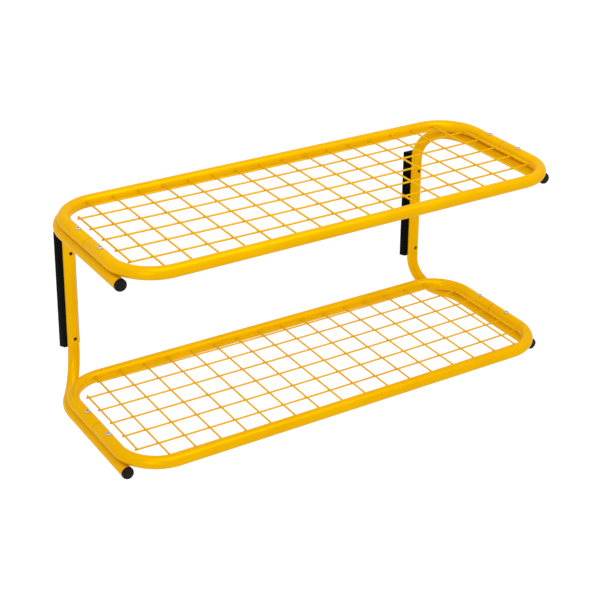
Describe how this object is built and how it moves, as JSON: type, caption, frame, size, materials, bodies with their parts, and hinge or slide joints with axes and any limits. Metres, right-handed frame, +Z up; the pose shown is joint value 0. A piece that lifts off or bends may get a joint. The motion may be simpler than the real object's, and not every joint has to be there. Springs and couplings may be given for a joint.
{
  "type": "two-tier wall rack",
  "caption": "Wall-hung rack of bent round tube: two side brackets carry two flat wire-mesh shelves with round-cornered tube frames.",
  "frame": {"origin": "on the wall plane, midway between the two uprights and midway between the two wall-screw holes of each", "axes": "+X along the shelves to the right as seen from the room, +Y into the wall, -Y out into the room, +Z up"},
  "size_m": [0.902, 0.402, 0.4025],
  "materials": {
    "yellow_paint": "satin yellow powder coat on steel tube and wire",
    "black_plastic": "satin black moulded plastic",
    "zinc_steel": "bright zinc-plated screws, nuts and sleeves"
  },
  "bodies": {
    "root": {"left_bracket": "yellow_paint", "left_wall_pad": "black_plastic", "upper_left_arm_cap": "black_plastic", "lower_left_arm_cap": "black_plastic", "right_bracket": "yellow_paint", "right_wall_pad": "black_plastic", "upper_right_arm_cap": "black_plastic", "lower_right_arm_cap": "black_plastic", "upper_frame_front": "yellow_paint", "upper_frame_rear": "yellow_paint", "upper_wire_mesh": "yellow_paint", "upper_left_joint_sleeve": "zinc_steel", "upper_left_screw_front": "zinc_steel", "upper_left_arm_nut_front": "zinc_steel", "upper_left_screw_rear": "zinc_steel", "upper_left_arm_nut_rear": "zinc_steel", "upper_right_joint_sleeve": "zinc_steel", "upper_right_screw_front": "zinc_steel", "upper_right_arm_nut_front": "zinc_steel", "upper_right_screw_rear": "zinc_steel", "upper_right_arm_nut_rear": "zinc_steel", "lower_frame_front": "yellow_paint", "lower_frame_rear": "yellow_paint", "lower_wire_mesh": "yellow_paint", "lower_left_joint_sleeve": "zinc_steel", "lower_left_screw_front": "zinc_steel", "lower_left_arm_nut_front": "zinc_steel", "lower_left_screw_rear": "zinc_steel", "lower_left_arm_nut_rear": "zinc_steel", "lower_right_joint_sleeve": "zinc_steel", "lower_right_screw_front": "zinc_steel", "lower_right_arm_nut_front": "zinc_steel", "lower_right_screw_rear": "zinc_steel", "lower_right_arm_nut_rear": "zinc_steel"}
  },
  "joints": []
}
